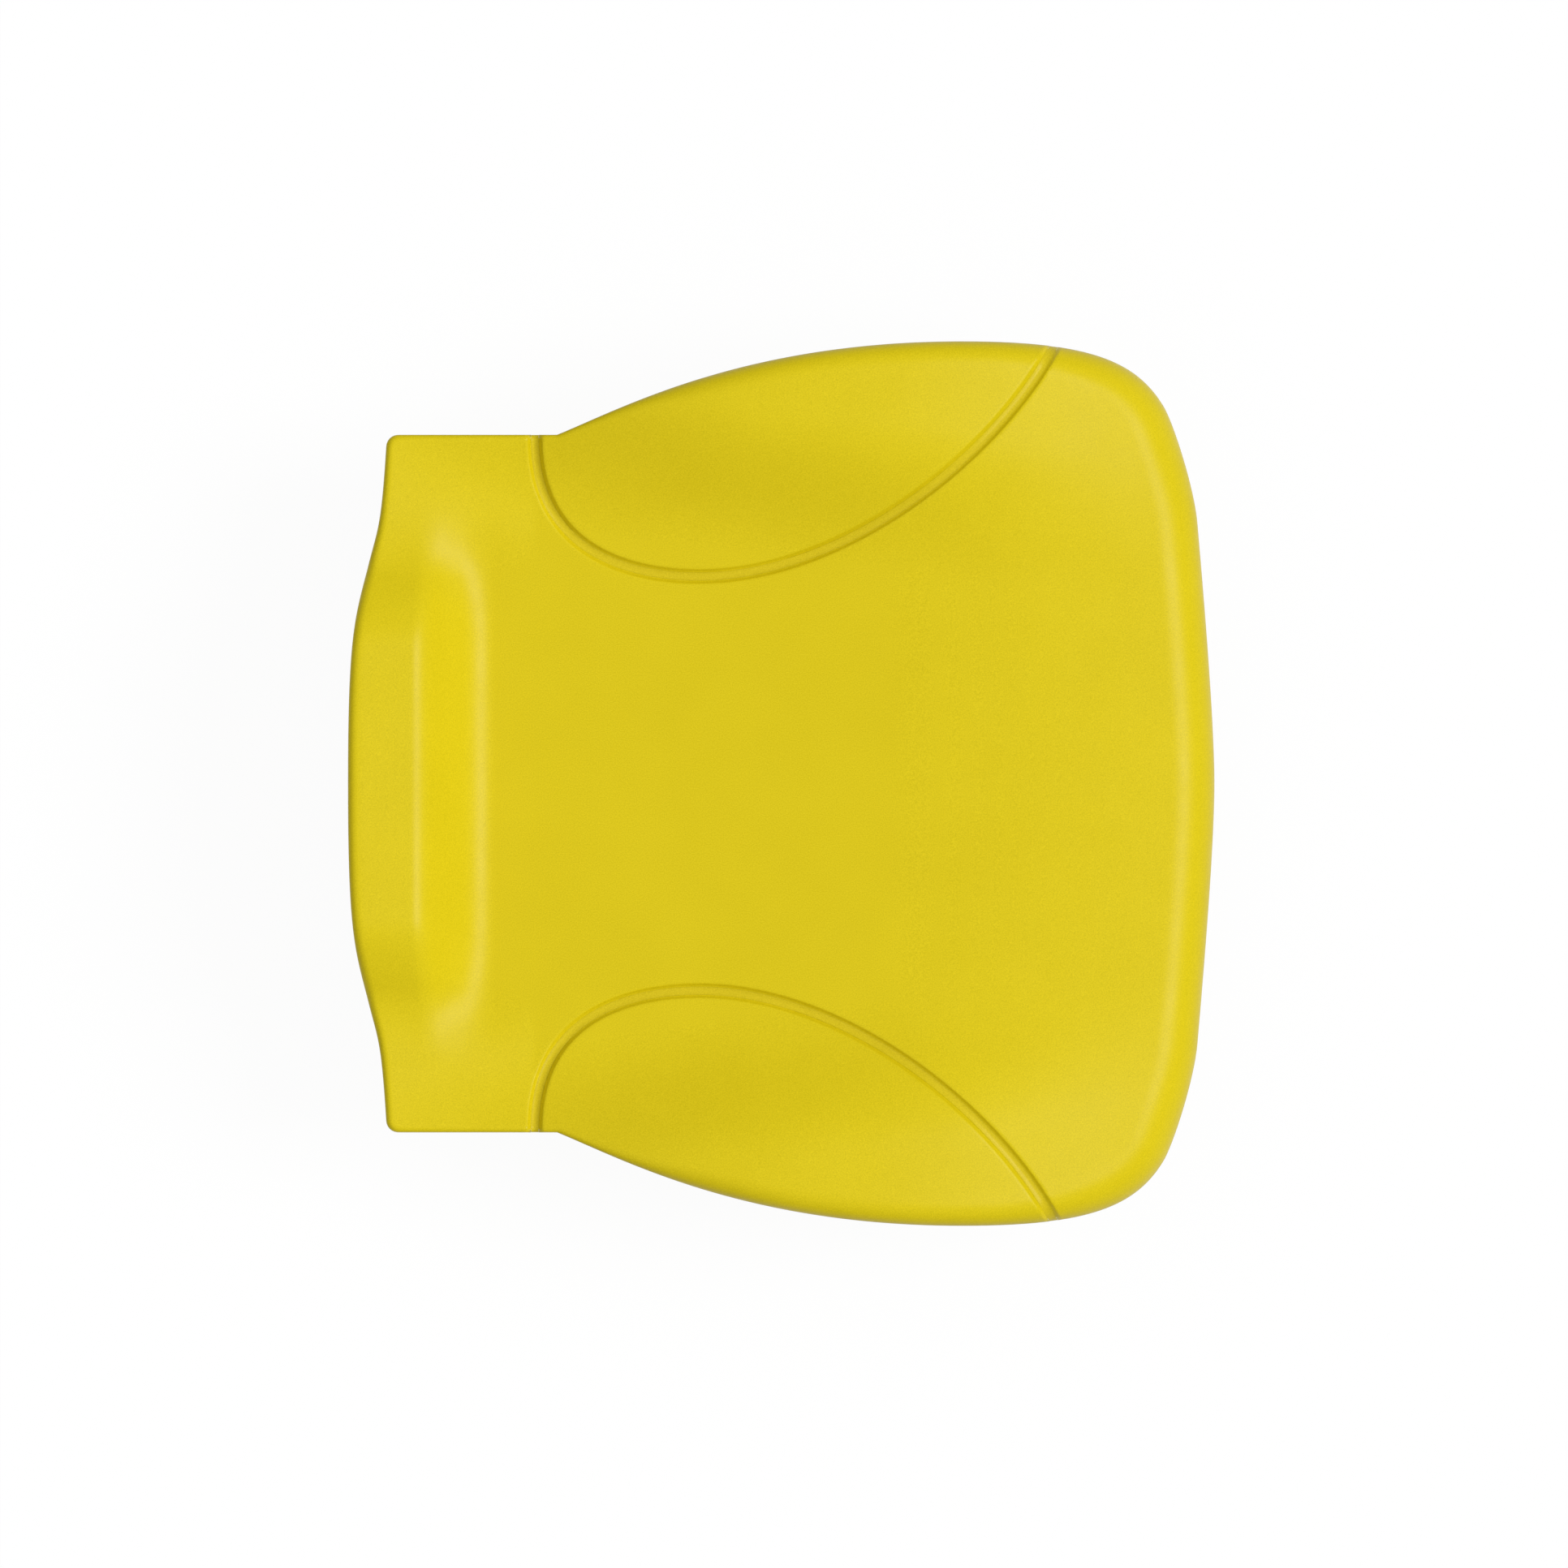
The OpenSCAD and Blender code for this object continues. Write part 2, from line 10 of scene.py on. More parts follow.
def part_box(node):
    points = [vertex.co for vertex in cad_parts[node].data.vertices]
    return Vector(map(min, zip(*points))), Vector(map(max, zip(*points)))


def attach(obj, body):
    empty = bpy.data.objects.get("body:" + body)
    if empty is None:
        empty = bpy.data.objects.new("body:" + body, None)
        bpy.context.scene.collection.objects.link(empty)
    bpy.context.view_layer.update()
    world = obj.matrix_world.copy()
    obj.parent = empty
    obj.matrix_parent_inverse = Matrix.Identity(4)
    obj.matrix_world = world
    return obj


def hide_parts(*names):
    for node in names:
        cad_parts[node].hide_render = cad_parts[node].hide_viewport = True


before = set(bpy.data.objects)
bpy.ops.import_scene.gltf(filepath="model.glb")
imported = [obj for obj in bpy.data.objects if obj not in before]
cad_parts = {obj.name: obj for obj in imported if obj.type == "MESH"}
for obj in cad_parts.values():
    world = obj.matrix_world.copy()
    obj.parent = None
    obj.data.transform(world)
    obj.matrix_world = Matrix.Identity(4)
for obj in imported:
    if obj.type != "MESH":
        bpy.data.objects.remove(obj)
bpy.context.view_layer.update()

# ---- Seat pan ----
# A yellow shell moulded in one piece, with the ribs that show as the floors of the two
# seams and with the four feet that stand on the sliding frame. Sizes are in millimetres;
# X runs to the bow, Y to port and Z up.

MM = 0.001


def sides_of(node):
    """Lowest and highest corner of a part of the frame, in millimetres."""
    return [np.array(corner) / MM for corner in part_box(node)]


# Plan of the seat and its seams
half_length = sides_of("centre_pad")[1][0]
half_width = sides_of("left_wing_pad")[1][1]
half_neck = 173.5
neck_end = 104 - half_length
widest_x = 90
lip_bow = 19
lip_half = 102
rear_corner = 6
seam_rear = neck_end - 11
seam_waist = neck_end + 70.5
waist_half = 103

# Form of the sitting surface
sitting_height = 95
wing_foot = 112
wing_crest = half_width - 33
wing_turn = 0.12
wing_rise = 24
wing_full_x = -30
wing_fade = 0.95
front_fall = 14
front_fall_x = 45
front_droop = 0.6
corner_rise = 15
corner_run = 38

# Pads, the pan under them and the ribs between them
pad_thickness = 22
pan_wall = 4
overhang = 1.6
tuck = 14
rim_at_lip, rim_at_neck, rim_at_side, rim_at_front = 5, 3, 11, 19.5
pan_skin_depth = pad_thickness + 0.2
seam_half = 2
seam_depth = 2.25
seam_hollow = 0.5
rib_gap = 0.05
pan_edge_z = 51
beam_top = sides_of("left_beam")[1][2]


def ease(low, high, v):
    """A smooth rise from 0 at low to 1 at high."""
    t = np.clip((v - low) / (high - low), 0, 1)
    return t * t * (3 - 2 * t)


def base_height(x, y):
    """Height of the seat without its lip, which the pan and the pads' undersides follow."""
    wing = ease(wing_foot, wing_crest, abs(y) + wing_turn * x)
    wing = wing * ease(-half_length, wing_full_x, x)
    wing = wing * (1 - wing_fade * ease(wing_full_x, half_length, x))
    corner = ease(lip_half, lip_half + corner_run, abs(y))
    corner = corner * np.maximum(0, seam_rear - x) / (half_length + seam_rear)
    front = (np.maximum(0, x - front_fall_x) / (half_length - front_fall_x)) ** 2
    front = front * (1 + front_droop * (y / half_width) ** 2)
    return sitting_height + wing_rise * wing + corner_rise * corner - front_fall * front


def below_base(plan, depth):
    """Points of a plan, depth under the seat's base surface."""
    return np.c_[plan, base_height(plan[:, 0], plan[:, 1]) - depth]


def curve(points, count):
    """Points along a cubic curve, without its last one."""
    t = np.linspace(0, 1, count, endpoint=False)[:, None]
    a, b, c, d = np.array(points, float)
    return (1 - t) ** 3 * a + 3 * (1 - t) ** 2 * t * b + 3 * (1 - t) * t * t * c + t ** 3 * d


def port_plan(inset=0.0):
    """Plan of the seat's port half, drawn in by inset, rear centre to front centre."""
    front, side, neck = half_length - inset, half_width - inset, half_neck - inset
    back = lip_bow - front
    lip_side = [back - lip_bow / 2, lip_half + 4]
    centre = np.array([back + rear_corner, neck - rear_corner])
    turn = np.radians(np.linspace(180, 90, 8, endpoint=False))
    front_corner, front_edge = [front - 25.5, side - 32], [front - 8.5, side - 90]
    return np.vstack([
        curve([[back - lip_bow, 0], [back - lip_bow, lip_half - 31],
               [back - 0.85 * lip_bow, lip_half - 21], lip_side], 24),
        curve([lip_side, [back - 0.22 * lip_bow, lip_half + 26],
               [back - 0.14 * lip_bow, lip_half + 23], [back, centre[1]]], 20),
        centre + rear_corner * np.c_[np.cos(turn), np.sin(turn)],
        np.c_[np.linspace(centre[0], neck_end, 12, endpoint=False), np.full(12, neck)],
        curve([[neck_end, neck], [neck_end + 32, neck + 13],
               [widest_x - 109, side], [widest_x, side]], 50),
        curve([[widest_x, side], [widest_x + 64, side],
               [front - 39, side - 10], front_corner], 28),
        curve([front_corner, [front - 20.5, side - 40],
               [front - 10, side - 73], front_edge], 16),
        curve([front_edge, [front - 5, side - 130], [front, 30], [front, 0]], 24),
        [[front, 0]]])


def both_halves(port):
    """The port half of an outline and its mirror image as one loop."""
    return np.vstack([port, port[-2:0:-1] * [1, -1]])


def spaced(line, step):
    """The line with evenly spaced points, its two ends kept."""
    length = np.r_[0, np.cumsum(np.linalg.norm(np.diff(line, axis=0), axis=1))]
    at = np.linspace(0, length[-1], int(round(length[-1] / step)) + 1)
    return np.c_[np.interp(at, length, line[:, 0]), np.interp(at, length, line[:, 1])]


def beside(line, d):
    """The line moved to its left by d, one value or one for each point."""
    ahead = np.diff(np.vstack([line[:1], line, line[-1:]]), axis=0)
    ahead = ahead[1:] + ahead[:-1]
    ahead /= np.linalg.norm(ahead, axis=1)[:, None]
    return line + np.reshape(d, (-1, 1)) * np.c_[-ahead[:, 1], ahead[:, 0]]


def between_crossings(line, wall):
    """The line from its first to its last crossing of a wall, and the wall's segments crossed."""
    p, r = line[:-1, None], np.diff(line, axis=0)[:, None]
    q, s = wall[None, :-1], np.diff(wall, axis=0)[None]
    turn = r[..., 0] * s[..., 1] - r[..., 1] * s[..., 0] + 1e-12
    gap = q - p
    along = (gap[..., 0] * s[..., 1] - gap[..., 1] * s[..., 0]) / turn
    across = (gap[..., 0] * r[..., 1] - gap[..., 1] * r[..., 0]) / turn
    hits = np.argwhere((along >= 0) & (along < 1) & (across >= 0) & (across < 1))
    (i, first), (j, last) = hits[0], hits[-1]
    start = line[i] + along[i, first] * (line[i + 1] - line[i])
    end = line[j] + along[j, last] * (line[j + 1] - line[j])
    return np.vstack([start, line[i + 1:j + 1], end]), first, last


def rim_radius(x):
    """Rounding of the rim: small round the neck, wide along the front edge."""
    return (rim_at_lip + (rim_at_neck - rim_at_lip) * ease(5 - half_length, 30 - half_length, x)
            + (rim_at_side - rim_at_neck) * ease(neck_end, neck_end + 90, x)
            + (rim_at_front - rim_at_side) * ease(widest_x + 10, half_length - 15, x))


def fallen(d, radius):
    """How far a rounded edge has fallen at d inside it."""
    return radius - np.sqrt(np.maximum(radius ** 2 - np.maximum(radius - d, 0) ** 2, 0))


def distance(points, line):
    """Distance of points from a line on the port side, or of their mirror images."""
    points = np.c_[points[:, 0], abs(points[:, 1])]
    nearest = np.full(len(points), 1e9)
    for a, b in zip(line[:-1], line[1:]):
        along = np.clip((points - a) @ (b - a) / ((b - a) @ (b - a)), 0, 1)
        nearest = np.minimum(nearest, ((points - a - along[:, None] * (b - a)) ** 2).sum(1))
    return np.sqrt(nearest)


plan_step = 1.5
port_rim = spaced(port_plan(), plan_step)
seam_front = np.array([widest_x + 45, half_width - 3.5])
port_seam = spaced(np.vstack([
    [[seam_rear, half_neck + 12]],
    curve([[seam_rear, half_neck - 1.5], [seam_rear, waist_half + 13],
           [seam_waist - 36, waist_half], [seam_waist, waist_half]], 60),
    curve([[seam_waist, waist_half], [seam_waist + 71, waist_half],
           seam_front - [31, 56], seam_front], 90),
    [seam_front, seam_front + [9, 16.5]]]), plan_step)


def placed(name, data):
    """An object of the scene made from its data."""
    thing = bpy.data.objects.new(name, data)
    bpy.context.scene.collection.objects.link(thing)
    return thing


def shaded(mesh, crease=40):
    """Smooth shading, broken at edges sharper than crease degrees."""
    mesh.shade_smooth()
    mesh.set_sharp_from_angle(angle=math.radians(crease))


def new_piece(name, points, faces, crease=40):
    """A piece from points in millimetres, smooth but for edges sharper than crease degrees."""
    mesh = bpy.data.meshes.new(name)
    mesh.from_pydata((np.asarray(points, float) * MM).tolist(), [],
                     [tuple(map(int, face)) for face in faces])
    skin = bmesh.new()
    skin.from_mesh(mesh)
    bmesh.ops.recalc_face_normals(skin, faces=skin.faces)
    bmesh.ops.triangulate(skin, faces=skin.faces)
    skin.to_mesh(mesh)
    skin.free()
    shaded(mesh, crease)
    return placed(name, mesh)


def through(rings):
    """Points and faces of a closed solid through rings of as many points, its ends fanned shut."""
    size, count = len(rings[0]), len(rings)
    points = np.vstack([*rings, rings[0].mean(0), rings[-1].mean(0)])
    last = (count - 1) * size
    faces = [(k * size + i, k * size + j, (k + 1) * size + j, (k + 1) * size + i)
             for k in range(count - 1) for i in range(size) for j in [(i + 1) % size]]
    faces += [(count * size, (i + 1) % size, i) for i in range(size)]
    faces += [(count * size + 1, last + i, last + (i + 1) % size) for i in range(size)]
    return points, faces


def moulded_together(name, parts):
    """One piece out of solids that run into each other, without slivers where they cross."""
    whole = parts[0]
    for part in parts[1:]:
        union = whole.modifiers.new("union", "BOOLEAN")
        union.operation, union.solver, union.object = "UNION", "MANIFOLD", part
    graph = bpy.context.evaluated_depsgraph_get()
    mesh = bpy.data.meshes.new_from_object(whole.evaluated_get(graph))
    for part in parts:
        bpy.data.objects.remove(part)
    mesh.materials.clear()
    joined = bmesh.new()
    joined.from_mesh(mesh)
    bmesh.ops.dissolve_degenerate(joined, dist=0.001 * MM, edges=joined.edges)
    joined.to_mesh(mesh)
    joined.free()
    shaded(mesh)
    return placed(name, mesh)


def drawn_in(plan, d):
    """The plan drawn towards the middle by d."""
    return plan * (1 - d / np.linalg.norm(plan, axis=1))[:, None]


def pan_shell():
    """The pan's skin, its tucked-in side wall with a round lower edge, and its inner face."""
    rim, foot = both_halves(port_plan(overhang)), both_halves(port_plan(overhang + tuck))
    edge = pan_wall / 2
    under = pan_skin_depth + pan_wall
    arris = 1.5
    outward = np.linspace(0.03, 0.98, 34)

    def wall(t, inset, depth):
        a, b = drawn_in(rim, inset), drawn_in(foot, inset)
        top = base_height(a[:, 0], a[:, 1]) - depth
        return np.c_[a + (b - a) * t * t, top + (pan_edge_z + edge - top) * t]

    rings = [below_base(drawn_in(rim, arris) * share, pan_skin_depth) for share in outward]
    for a in np.radians([0, 30, 60]):
        lower = drawn_in(rim, arris * (1 - math.sin(a)))
        rings.append(below_base(lower, pan_skin_depth + arris * (1 - math.cos(a))))
    rings += [wall(t, 0, pan_skin_depth + arris) for t in np.linspace(0, 1, 9)]
    for a in np.radians([30, 60, 90, 120, 150]):
        lower = drawn_in(foot, edge * (1 - math.cos(a)))
        rings.append(np.c_[lower, np.full(len(lower), pan_edge_z + edge * (1 - math.sin(a)))])
    rings += [wall(t, pan_wall, under) for t in np.linspace(1, 0, 9)]
    rings += [below_base(drawn_in(rim, pan_wall) * share, under) for share in outward[::-1]]
    return new_piece("shell", *through(rings))


def seam_rib(mirror):
    """The rib between two pads, its ends flush with their rims and rounded like them."""
    half = seam_half - rib_gap
    at = 0.5 - 0.5 * np.cos(np.linspace(0, math.pi, 320))  # closest together at both ends
    flanks = []
    for d in (half, -half):
        flank = between_crossings(beside(port_seam, d), port_plan(2 * rib_gap))[0]
        steps = np.linspace(0, 1, len(flank))
        flanks.append(np.c_[np.interp(at, steps, flank[:, 0]), np.interp(at, steps, flank[:, 1])])
    left, right = flanks
    roots = []
    for side in flanks:
        sunk = ease(overhang, overhang + 2, distance(side, port_rim))
        roots.append(below_base(side, pad_thickness + pan_wall / 2 * sunk))
    corners = [roots[0]]
    for across in (0, 0.25, 0.5, 0.75, 1):
        top = left + (right - left) * across
        depth = seam_depth + seam_hollow * math.sin(math.pi * across)
        depth = depth + fallen(distance(top, port_rim), rim_radius(top[:, 0]))
        corners.append(below_base(top, depth))
    corners.append(roots[1])
    return new_piece("rib", *through([np.array(ring) * [1, mirror, 1] for ring in zip(*corners)]))


foot_radius = 13
foot_flare = 6
foot_chamfer = 0.8
insert_radius = 4.7
insert_height = 15
web_reach = 20
web_half = 1.5
web_low = beam_top + 16


def pan_foot(x, y):
    """A post that flares into the pan, with the bore for its brass insert."""
    turn = np.linspace(0, 2 * math.pi, 48, endpoint=False)
    circle = np.c_[np.cos(turn), np.sin(turn)]
    under = pan_skin_depth + pan_wall
    rings = [np.c_[circle * radius + [x, y], np.full(len(circle), z)] for radius, z in (
        (insert_radius, beam_top + insert_height), (insert_radius, beam_top),
        (foot_radius - foot_chamfer, beam_top), (foot_radius, beam_top + foot_chamfer))]
    for a in np.radians([0, 15, 30, 45, 60, 75, 90]):
        ring = circle * (foot_radius + foot_flare * (1 - math.cos(a))) + [x, y]
        rings.append(below_base(ring, under + foot_flare * (1 - math.sin(a))))
    rings.append(below_base(ring, under - pan_wall / 2))
    return new_piece("foot", *through(rings))


def foot_web(x, y, turned):
    """One of the two crossed webs that stiffen a foot, tapered for the mould."""
    corners = []
    for reach, half in ((web_reach - 3, web_half - 0.3), (web_reach, web_half)):
        box = np.array([[-reach, -half], [reach, -half], [reach, half], [-reach, half]])
        corners.append((box[:, ::-1] if turned else box) + [x, y])
    top = below_base(corners[1], pan_skin_depth + pan_wall / 2)
    return new_piece("web", *through([np.c_[corners[0], np.full(4, web_low)], top]))


def new_finish(name, roughness, **sockets):
    """A material whose roughness varies between two values over a few centimetres."""
    finish = bpy.data.materials.new(name)
    finish.use_nodes = True
    shader = finish.node_tree.nodes["Principled BSDF"]
    for socket, value in sockets.items():
        shader.inputs[socket.replace("_", " ")].default_value = value
    gloss = mixed(finish, grain(finish, 60, 4), (roughness[0],) * 3, (roughness[1],) * 3)
    finish.node_tree.links.new(gloss, shader.inputs["Roughness"])
    return finish


def grain(finish, scale, detail, along=1):
    """Noise with scale cells to the metre, drawn out along X where along is below 1."""
    nodes, links = finish.node_tree.nodes, finish.node_tree.links
    place = nodes.new("ShaderNodeMapping")
    place.inputs["Scale"].default_value = (along, 1, 1)
    links.new(nodes.new("ShaderNodeTexCoord").outputs["Object"], place.inputs["Vector"])
    noise = nodes.new("ShaderNodeTexNoise")
    noise.inputs["Scale"].default_value = scale
    noise.inputs["Detail"].default_value = detail
    links.new(place.outputs["Vector"], noise.inputs["Vector"])
    return noise.outputs["Fac"]


def mixed(finish, value, low, high):
    """The colours from low to high that noise picks between."""
    ramp = finish.node_tree.nodes.new("ShaderNodeValToRGB")
    for stop, place, colour in zip(ramp.color_ramp.elements, (0.3, 0.7), (low, high)):
        stop.position = place
        stop.color = (*colour, 1)
    finish.node_tree.links.new(value, ramp.inputs["Fac"])
    return ramp.outputs["Color"]


def coloured(finish, value, low, high):
    """The finish's colour, between low and high."""
    shader = finish.node_tree.nodes["Principled BSDF"]
    finish.node_tree.links.new(mixed(finish, value, low, high), shader.inputs["Base Color"])


def embossed(finish, height, depth):
    """The noise as relief, depth millimetres high."""
    nodes, links = finish.node_tree.nodes, finish.node_tree.links
    bump = nodes.new("ShaderNodeBump")
    bump.inputs["Strength"].default_value = 1
    bump.inputs["Distance"].default_value = depth * MM
    links.new(height, bump.inputs["Height"])
    links.new(bump.outputs["Normal"], nodes["Principled BSDF"].inputs["Normal"])


def yellow_moulding(name, roughness, low, high):
    """Yellow through the whole thickness, clouded and speckled by the mould's fine grain."""
    finish = new_finish(name, roughness, Specular_IOR_Level=0.12)
    both = finish.node_tree.nodes.new("ShaderNodeMix")
    both.inputs["Factor"].default_value = 0.85
    finish.node_tree.links.new(grain(finish, 25, 3), both.inputs["A"])
    finish.node_tree.links.new(grain(finish, 1800, 1), both.inputs["B"])
    coloured(finish, both.outputs["Result"], low, high)
    embossed(finish, grain(finish, 1400, 3), 0.03)
    return finish


pan_yellow = yellow_moulding("pan_yellow", (0.30, 0.38),
                             (0.566, 0.442, 0.004), (0.694, 0.554, 0.014))

front_glide, rear_glide = sides_of("front_left_glide"), sides_of("rear_left_glide")
rail_y = (front_glide[0][1] + front_glide[1][1]) / 2
foot_places = [((glide[0][0] + glide[1][0]) / 2, y)
               for glide in (front_glide, rear_glide) for y in (rail_y, -rail_y)]

pan_parts = [pan_shell(), seam_rib(1), seam_rib(-1)]
for x, y in foot_places:
    pan_parts += [pan_foot(x, y), foot_web(x, y, False), foot_web(x, y, True)]
pan = moulded_together("seat_pan_moulding", pan_parts)
pan.data.materials.append(pan_yellow)
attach(pan, "seat")
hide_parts("seat_pan")

# ---- Centre pad ----
# The large pad of closed-cell foam, moulded to shape with its rounded rims and
# with the solid lip at its rear, and glued to the pan. It is cut away at both
# sides for the wing pads.

# The lip: its top, the slope down to the seat and its ends
lip_rise = 34
lip_fall = 5
lip_shelf = 37
lip_shoulder = lip_shelf - half_length
lip_foot = lip_shoulder + 28
shoulder_bend = 5.5
foot_bend = 8.5
lip_turn = 4
lip_ends = (lip_half - 35, lip_half + 41)

# Rolled edges, and the cells of the pads' surface, finer round the lip
seam_reach = 2
seam_fall = 2.1
underside_radius = 0.8
foam_cell = 3.0
lip_cell = 1.5
sliver = 0.001
off_centre = 0.1
lip_cells = (lip_shoulder - 2 * shoulder_bend, lip_foot + 1.5 * foot_bend)


def bent(v, reach):
    """A bend rounded over reach to either side: 0 before it and v after it."""
    return np.where(v > reach, v, np.where(v > -reach, (v + reach) ** 2 / (4 * reach), 0))


def pad_height(x, y):
    """Height of the pads' surface, before its rims are rounded."""
    end = ease(*lip_ends, abs(y))
    shoulder = lip_shoulder + lip_turn * end
    slope = bent(x - shoulder, shoulder_bend) - bent(x - lip_foot, foot_bend)
    level = lip_rise - lip_fall * (x + half_length) / lip_shelf
    return base_height(x, y) + level * (1 - end) * (1 - slope / (lip_foot - shoulder))


def inside(points, loop):
    """Which of the points lie inside a closed loop."""
    crossings = np.zeros(len(points), int)
    for a, b in zip(loop, np.roll(loop, -1, axis=0)):
        level = (a[1] > points[:, 1]) != (b[1] > points[:, 1])
        if level.any():
            reach = a[0] + (points[level, 1] - a[1]) * (b[0] - a[0]) / (b[1] - a[1])
            crossings[level] += points[level, 0] < reach
    return crossings % 2 == 1


def honeycomb(low, high, cell):
    """Points in staggered rows between two corners, cell apart."""
    rows = np.arange(low[1], high[1], cell * math.sqrt(0.75))
    columns = np.arange(low[0], high[0], cell)
    return np.vstack([np.c_[columns + k % 2 * cell / 2, np.full(len(columns), y)]
                      for k, y in enumerate(rows)])


quarter_turn = 1 - np.cos(np.radians(np.arange(10, 91, 10)))


def pad_places(loop, seam, seam_side):
    """Places in plan for a pad's corners: its loop, rows along its rounded edges, and cells."""
    inward = beside(port_rim, -1) - port_rim
    reach = np.outer(quarter_turn, rim_radius(port_rim[:, 0]))
    at_rim = (port_rim + reach[..., None] * inward).reshape(-1, 2)
    at_rim = at_rim[(distance(at_rim, port_rim) > 0.93 * reach.ravel())
                    & (distance(at_rim, seam) > 0.4)]
    steps = [*seam_reach * np.arange(0.2, 1.1, 0.2), seam_reach + 1.2]
    at_seam = np.vstack([beside(seam, seam_side * step) for step in steps])
    at_seam = at_seam[distance(at_seam, port_rim) > 0.3]
    rolls = np.vstack([at_rim, at_seam])
    low, high = loop.min(0), loop.max(0)
    cells = honeycomb(low, high, foam_cell)
    cells = cells[(cells[:, 0] < lip_cells[0]) | (cells[:, 0] > lip_cells[1])]
    cells = np.vstack([cells, honeycomb((lip_cells[0], low[1]), (lip_cells[1], high[1]), lip_cell)])
    cells = cells[(distance(cells, port_rim) > rim_radius(cells[:, 0]) + 1)
                  & (distance(cells, seam) > seam_reach + 2.2)]
    places = np.vstack([rolls, rolls[rolls[:, 1] > off_centre] * [1, -1], cells])
    return np.vstack([loop, places[inside(places, loop)]])


def foam_pad(name, loop, seam, seam_side):
    """A pad inside a loop in plan, rounded down to its rim and to its side of the seam."""
    places = pad_places(loop, seam, seam_side)
    border = [(i, (i + 1) % len(loop)) for i in range(len(loop))]
    plan, _, faces, *_ = delaunay_2d_cdt(places.tolist(), border, [], 1, 1e-4, False)
    plan, faces = np.array([tuple(place) for place in plan]), np.array(faces)
    u, v = plan[faces[:, 1]] - plan[faces[:, 0]], plan[faces[:, 2]] - plan[faces[:, 0]]
    whole = abs(u[:, 0] * v[:, 1] - u[:, 1] * v[:, 0]) > sliver
    faces = faces[whole & inside(plan[faces].mean(1), loop)].tolist()
    rim_gap, seam_gap = distance(plan, port_rim), distance(plan, seam)
    top = pad_height(*plan.T) - fallen(rim_gap, rim_radius(plan[:, 0]))
    top -= seam_fall * (1 - ease(0, seam_reach, seam_gap))
    bottom = base_height(*plan.T) - pad_thickness
    bottom += fallen(np.minimum(rim_gap, seam_gap), underside_radius)
    count = len(plan)
    ways = {(a, b) for face in faces for a, b in zip(face, (*face[1:], face[0]))}
    walls = [(b, a, a + count, b + count) for a, b in sorted(ways) if (b, a) not in ways]
    under = [tuple(i + count for i in reversed(face)) for face in faces]
    return new_piece(name, np.vstack([np.c_[plan, top], np.c_[plan, bottom]]),
                     [*map(tuple, faces), *under, *walls], 60)


foam_yellow = yellow_moulding("foam_yellow", (0.33, 0.40),
                              (0.604, 0.477, 0.002), (0.744, 0.593, 0.009))

pad_side = beside(port_seam, -seam_half)
edge, first, last = between_crossings(pad_side, port_rim)
pad_loop = both_halves(np.vstack([port_rim[:first + 1], edge, port_rim[last + 1:]]))
centre_pad = foam_pad("centre_pad_foam", pad_loop, pad_side, -1)
centre_pad.data.materials.append(foam_yellow)
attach(centre_pad, "seat")
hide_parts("centre_pad")

# ---- Wing pads ----
# Two leaf-shaped pads of the same foam that rise to the hips. Each is moulded
# by itself and glued to the pan, a rib's width from the centre pad.

wing_side = beside(port_seam, seam_half)
edge, first, last = between_crossings(wing_side, port_rim)
wing_loop = np.vstack([port_rim[first + 1:last + 1], edge[::-1]])
for side, mirror in (("left", 1), ("right", -1)):
    wing = foam_pad(side + "_wing_foam", wing_loop * [1, mirror], wing_side, 1)
    wing.data.materials.append(foam_yellow)
    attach(wing, "seat")
    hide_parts(side + "_wing_pad")

# ---- Rails ----
# Two lengths of extruded aluminium channel, anodised clear. The die leaves fine
# lines along them. Each is screwed to the hull through two holes in its floor.


def dressed(node, finish, arris):
    """A part of the frame in its finish, its sharp edges broken by arris millimetres."""
    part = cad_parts[node]
    part.data.materials.clear()
    part.data.materials.append(finish)
    if "custom_normal" in part.data.attributes:
        part.data.attributes.remove(part.data.attributes["custom_normal"])
    part.data.shade_smooth()
    part.modifiers.new("joined faces", "WELD").merge_threshold = 0.001 * MM
    flat = part.modifiers.new("whole faces", "DECIMATE")
    flat.decimate_type, flat.angle_limit = "DISSOLVE", math.radians(0.5)
    edges = part.modifiers.new("broken edges", "BEVEL")
    edges.width, edges.segments, edges.harden_normals = arris * MM, 2, True
    edges.limit_method, edges.angle_limit = "ANGLE", math.radians(40)
    edges.use_clamp_overlap = False


def drawn_alloy(name, low, high, roughness):
    """Aluminium with the fine lines that a die or a brush leaves along X."""
    finish = new_finish(name, roughness, Metallic=1.0)
    coloured(finish, grain(finish, 900, 2, along=0.004), low, high)
    embossed(finish, grain(finish, 1800, 2, along=0.003), 0.02)
    return finish


anodised = drawn_alloy("anodised_alloy", (0.66, 0.67, 0.69), (0.76, 0.77, 0.78), (0.28, 0.38))
for side in ("left", "right"):
    dressed(side + "_rail", anodised, 0.35)

# ---- End stops and their screws ----
# T-shaped blocks of black nylon in the rails' ends, each held by a stainless
# socket-head screw sunk in it.

nylon = new_finish("black_nylon", (0.40, 0.52), Specular_IOR_Level=0.4)
coloured(nylon, grain(nylon, 300, 3), (0.011, 0.011, 0.012), (0.019, 0.019, 0.020))
embossed(nylon, grain(nylon, 1600, 2), 0.04)
stainless = new_finish("stainless_steel", (0.20, 0.34), Metallic=1.0)
coloured(stainless, grain(stainless, 250, 3), (0.50, 0.50, 0.51), (0.60, 0.60, 0.61))
embossed(stainless, grain(stainless, 1500, 3), 0.01)
for end in ("front", "rear"):
    for side in ("left", "right"):
        dressed(end + "_" + side + "_stop", nylon, 0.35)
dressed("stop_screws", stainless, 0.2)

